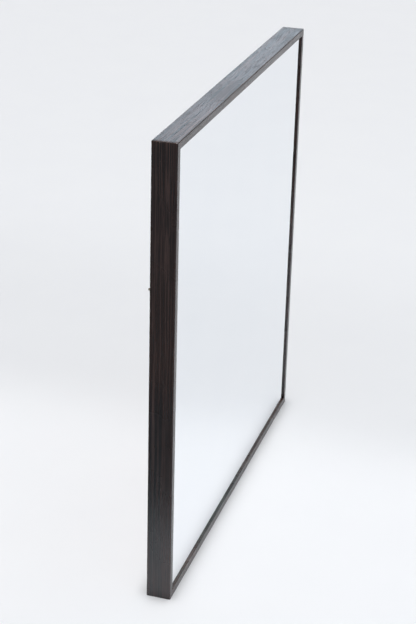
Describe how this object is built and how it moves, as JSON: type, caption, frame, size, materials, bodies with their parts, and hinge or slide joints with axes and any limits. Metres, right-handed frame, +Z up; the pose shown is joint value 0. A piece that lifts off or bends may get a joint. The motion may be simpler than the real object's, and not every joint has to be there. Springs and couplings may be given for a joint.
{
  "type": "shadow box",
  "caption": "Slim, deep box frame of dark planks round an almost square mirror, with battens, a back panel held by turn buttons, and screw eyes for hanging.",
  "frame": {"origin": "centre of the frame's flat underside, midway between its sides and between its front and back edges", "axes": "+Z up, +X to the right as seen from the mirror side, +Y from the mirror side to the back; the mirror faces -Y"},
  "size_m": [0.813, 0.0523, 0.838],
  "materials": {
    "dark_wood": "open-grained dark brown-black hardwood with a thin satin oil",
    "dowel_wood": "plain beech dowel, glued",
    "batten_wood": "planed, unfinished pine",
    "fibreboard": "raw medium-density fibreboard",
    "hardboard": "smooth brown hardboard",
    "mirror": "back-silvered float glass with ground edges",
    "mastic": "cured off-white mirror mastic",
    "zinc_screw": "bright zinc-plated steel",
    "black_steel": "pressed steel, satin black lacquer",
    "brass": "slightly tarnished brass",
    "rubber": "soft moulded black rubber"
  },
  "bodies": {
    "frame": {"top_board": "dark_wood", "bottom_board": "dark_wood", "left_board": "dark_wood", "right_board": "dark_wood", "corner_dowels": "dowel_wood", "top_batten": "batten_wood", "bottom_batten": "batten_wood", "left_batten": "batten_wood", "right_batten": "batten_wood", "batten_screws": "zinc_screw", "mirror_glass": "mirror", "mirror_mastic": "mastic", "mirror_backer": "fibreboard", "backer_screws": "zinc_screw", "back_panel": "hardboard", "pivot_screws": "brass", "left_eye": "brass", "right_eye": "brass", "wall_bumpers": "rubber"},
    "top_button_left": {"top_button_left": "black_steel"},
    "bottom_button_left": {"bottom_button_left": "black_steel"},
    "top_button_right": {"top_button_right": "black_steel"},
    "bottom_button_right": {"bottom_button_right": "black_steel"},
    "left_button_lower": {"left_button_lower": "black_steel"},
    "right_button_lower": {"right_button_lower": "black_steel"},
    "left_button_upper": {"left_button_upper": "black_steel"},
    "right_button_upper": {"right_button_upper": "black_steel"}
  },
  "joints": [
    {"name": "top_button_left_turn", "type": "hinge", "parent": "frame", "child": "top_button_left", "pos_m": [-0.20325, 0.0188, 0.8195], "axis": [0, 1, 0], "range_deg": [-90, 90]},
    {"name": "bottom_button_left_turn", "type": "hinge", "parent": "frame", "child": "bottom_button_left", "pos_m": [-0.20325, 0.0188, 0.0185], "axis": [0, 1, 0], "range_deg": [-90, 90]},
    {"name": "top_button_right_turn", "type": "hinge", "parent": "frame", "child": "top_button_right", "pos_m": [0.20325, 0.0188, 0.8195], "axis": [0, 1, 0], "range_deg": [-90, 90]},
    {"name": "bottom_button_right_turn", "type": "hinge", "parent": "frame", "child": "bottom_button_right", "pos_m": [0.20325, 0.0188, 0.0185], "axis": [0, 1, 0], "range_deg": [-90, 90]},
    {"name": "left_button_lower_turn", "type": "hinge", "parent": "frame", "child": "left_button_lower", "pos_m": [-0.388, 0.0188, 0.2095], "axis": [0, 1, 0], "range_deg": [-90, 90]},
    {"name": "right_button_lower_turn", "type": "hinge", "parent": "frame", "child": "right_button_lower", "pos_m": [0.388, 0.0188, 0.2095], "axis": [0, 1, 0], "range_deg": [-90, 90]},
    {"name": "left_button_upper_turn", "type": "hinge", "parent": "frame", "child": "left_button_upper", "pos_m": [-0.388, 0.0188, 0.6704], "axis": [0, 1, 0], "range_deg": [-90, 90]},
    {"name": "right_button_upper_turn", "type": "hinge", "parent": "frame", "child": "right_button_upper", "pos_m": [0.388, 0.0188, 0.6704], "axis": [0, 1, 0], "range_deg": [-90, 90]}
  ]
}
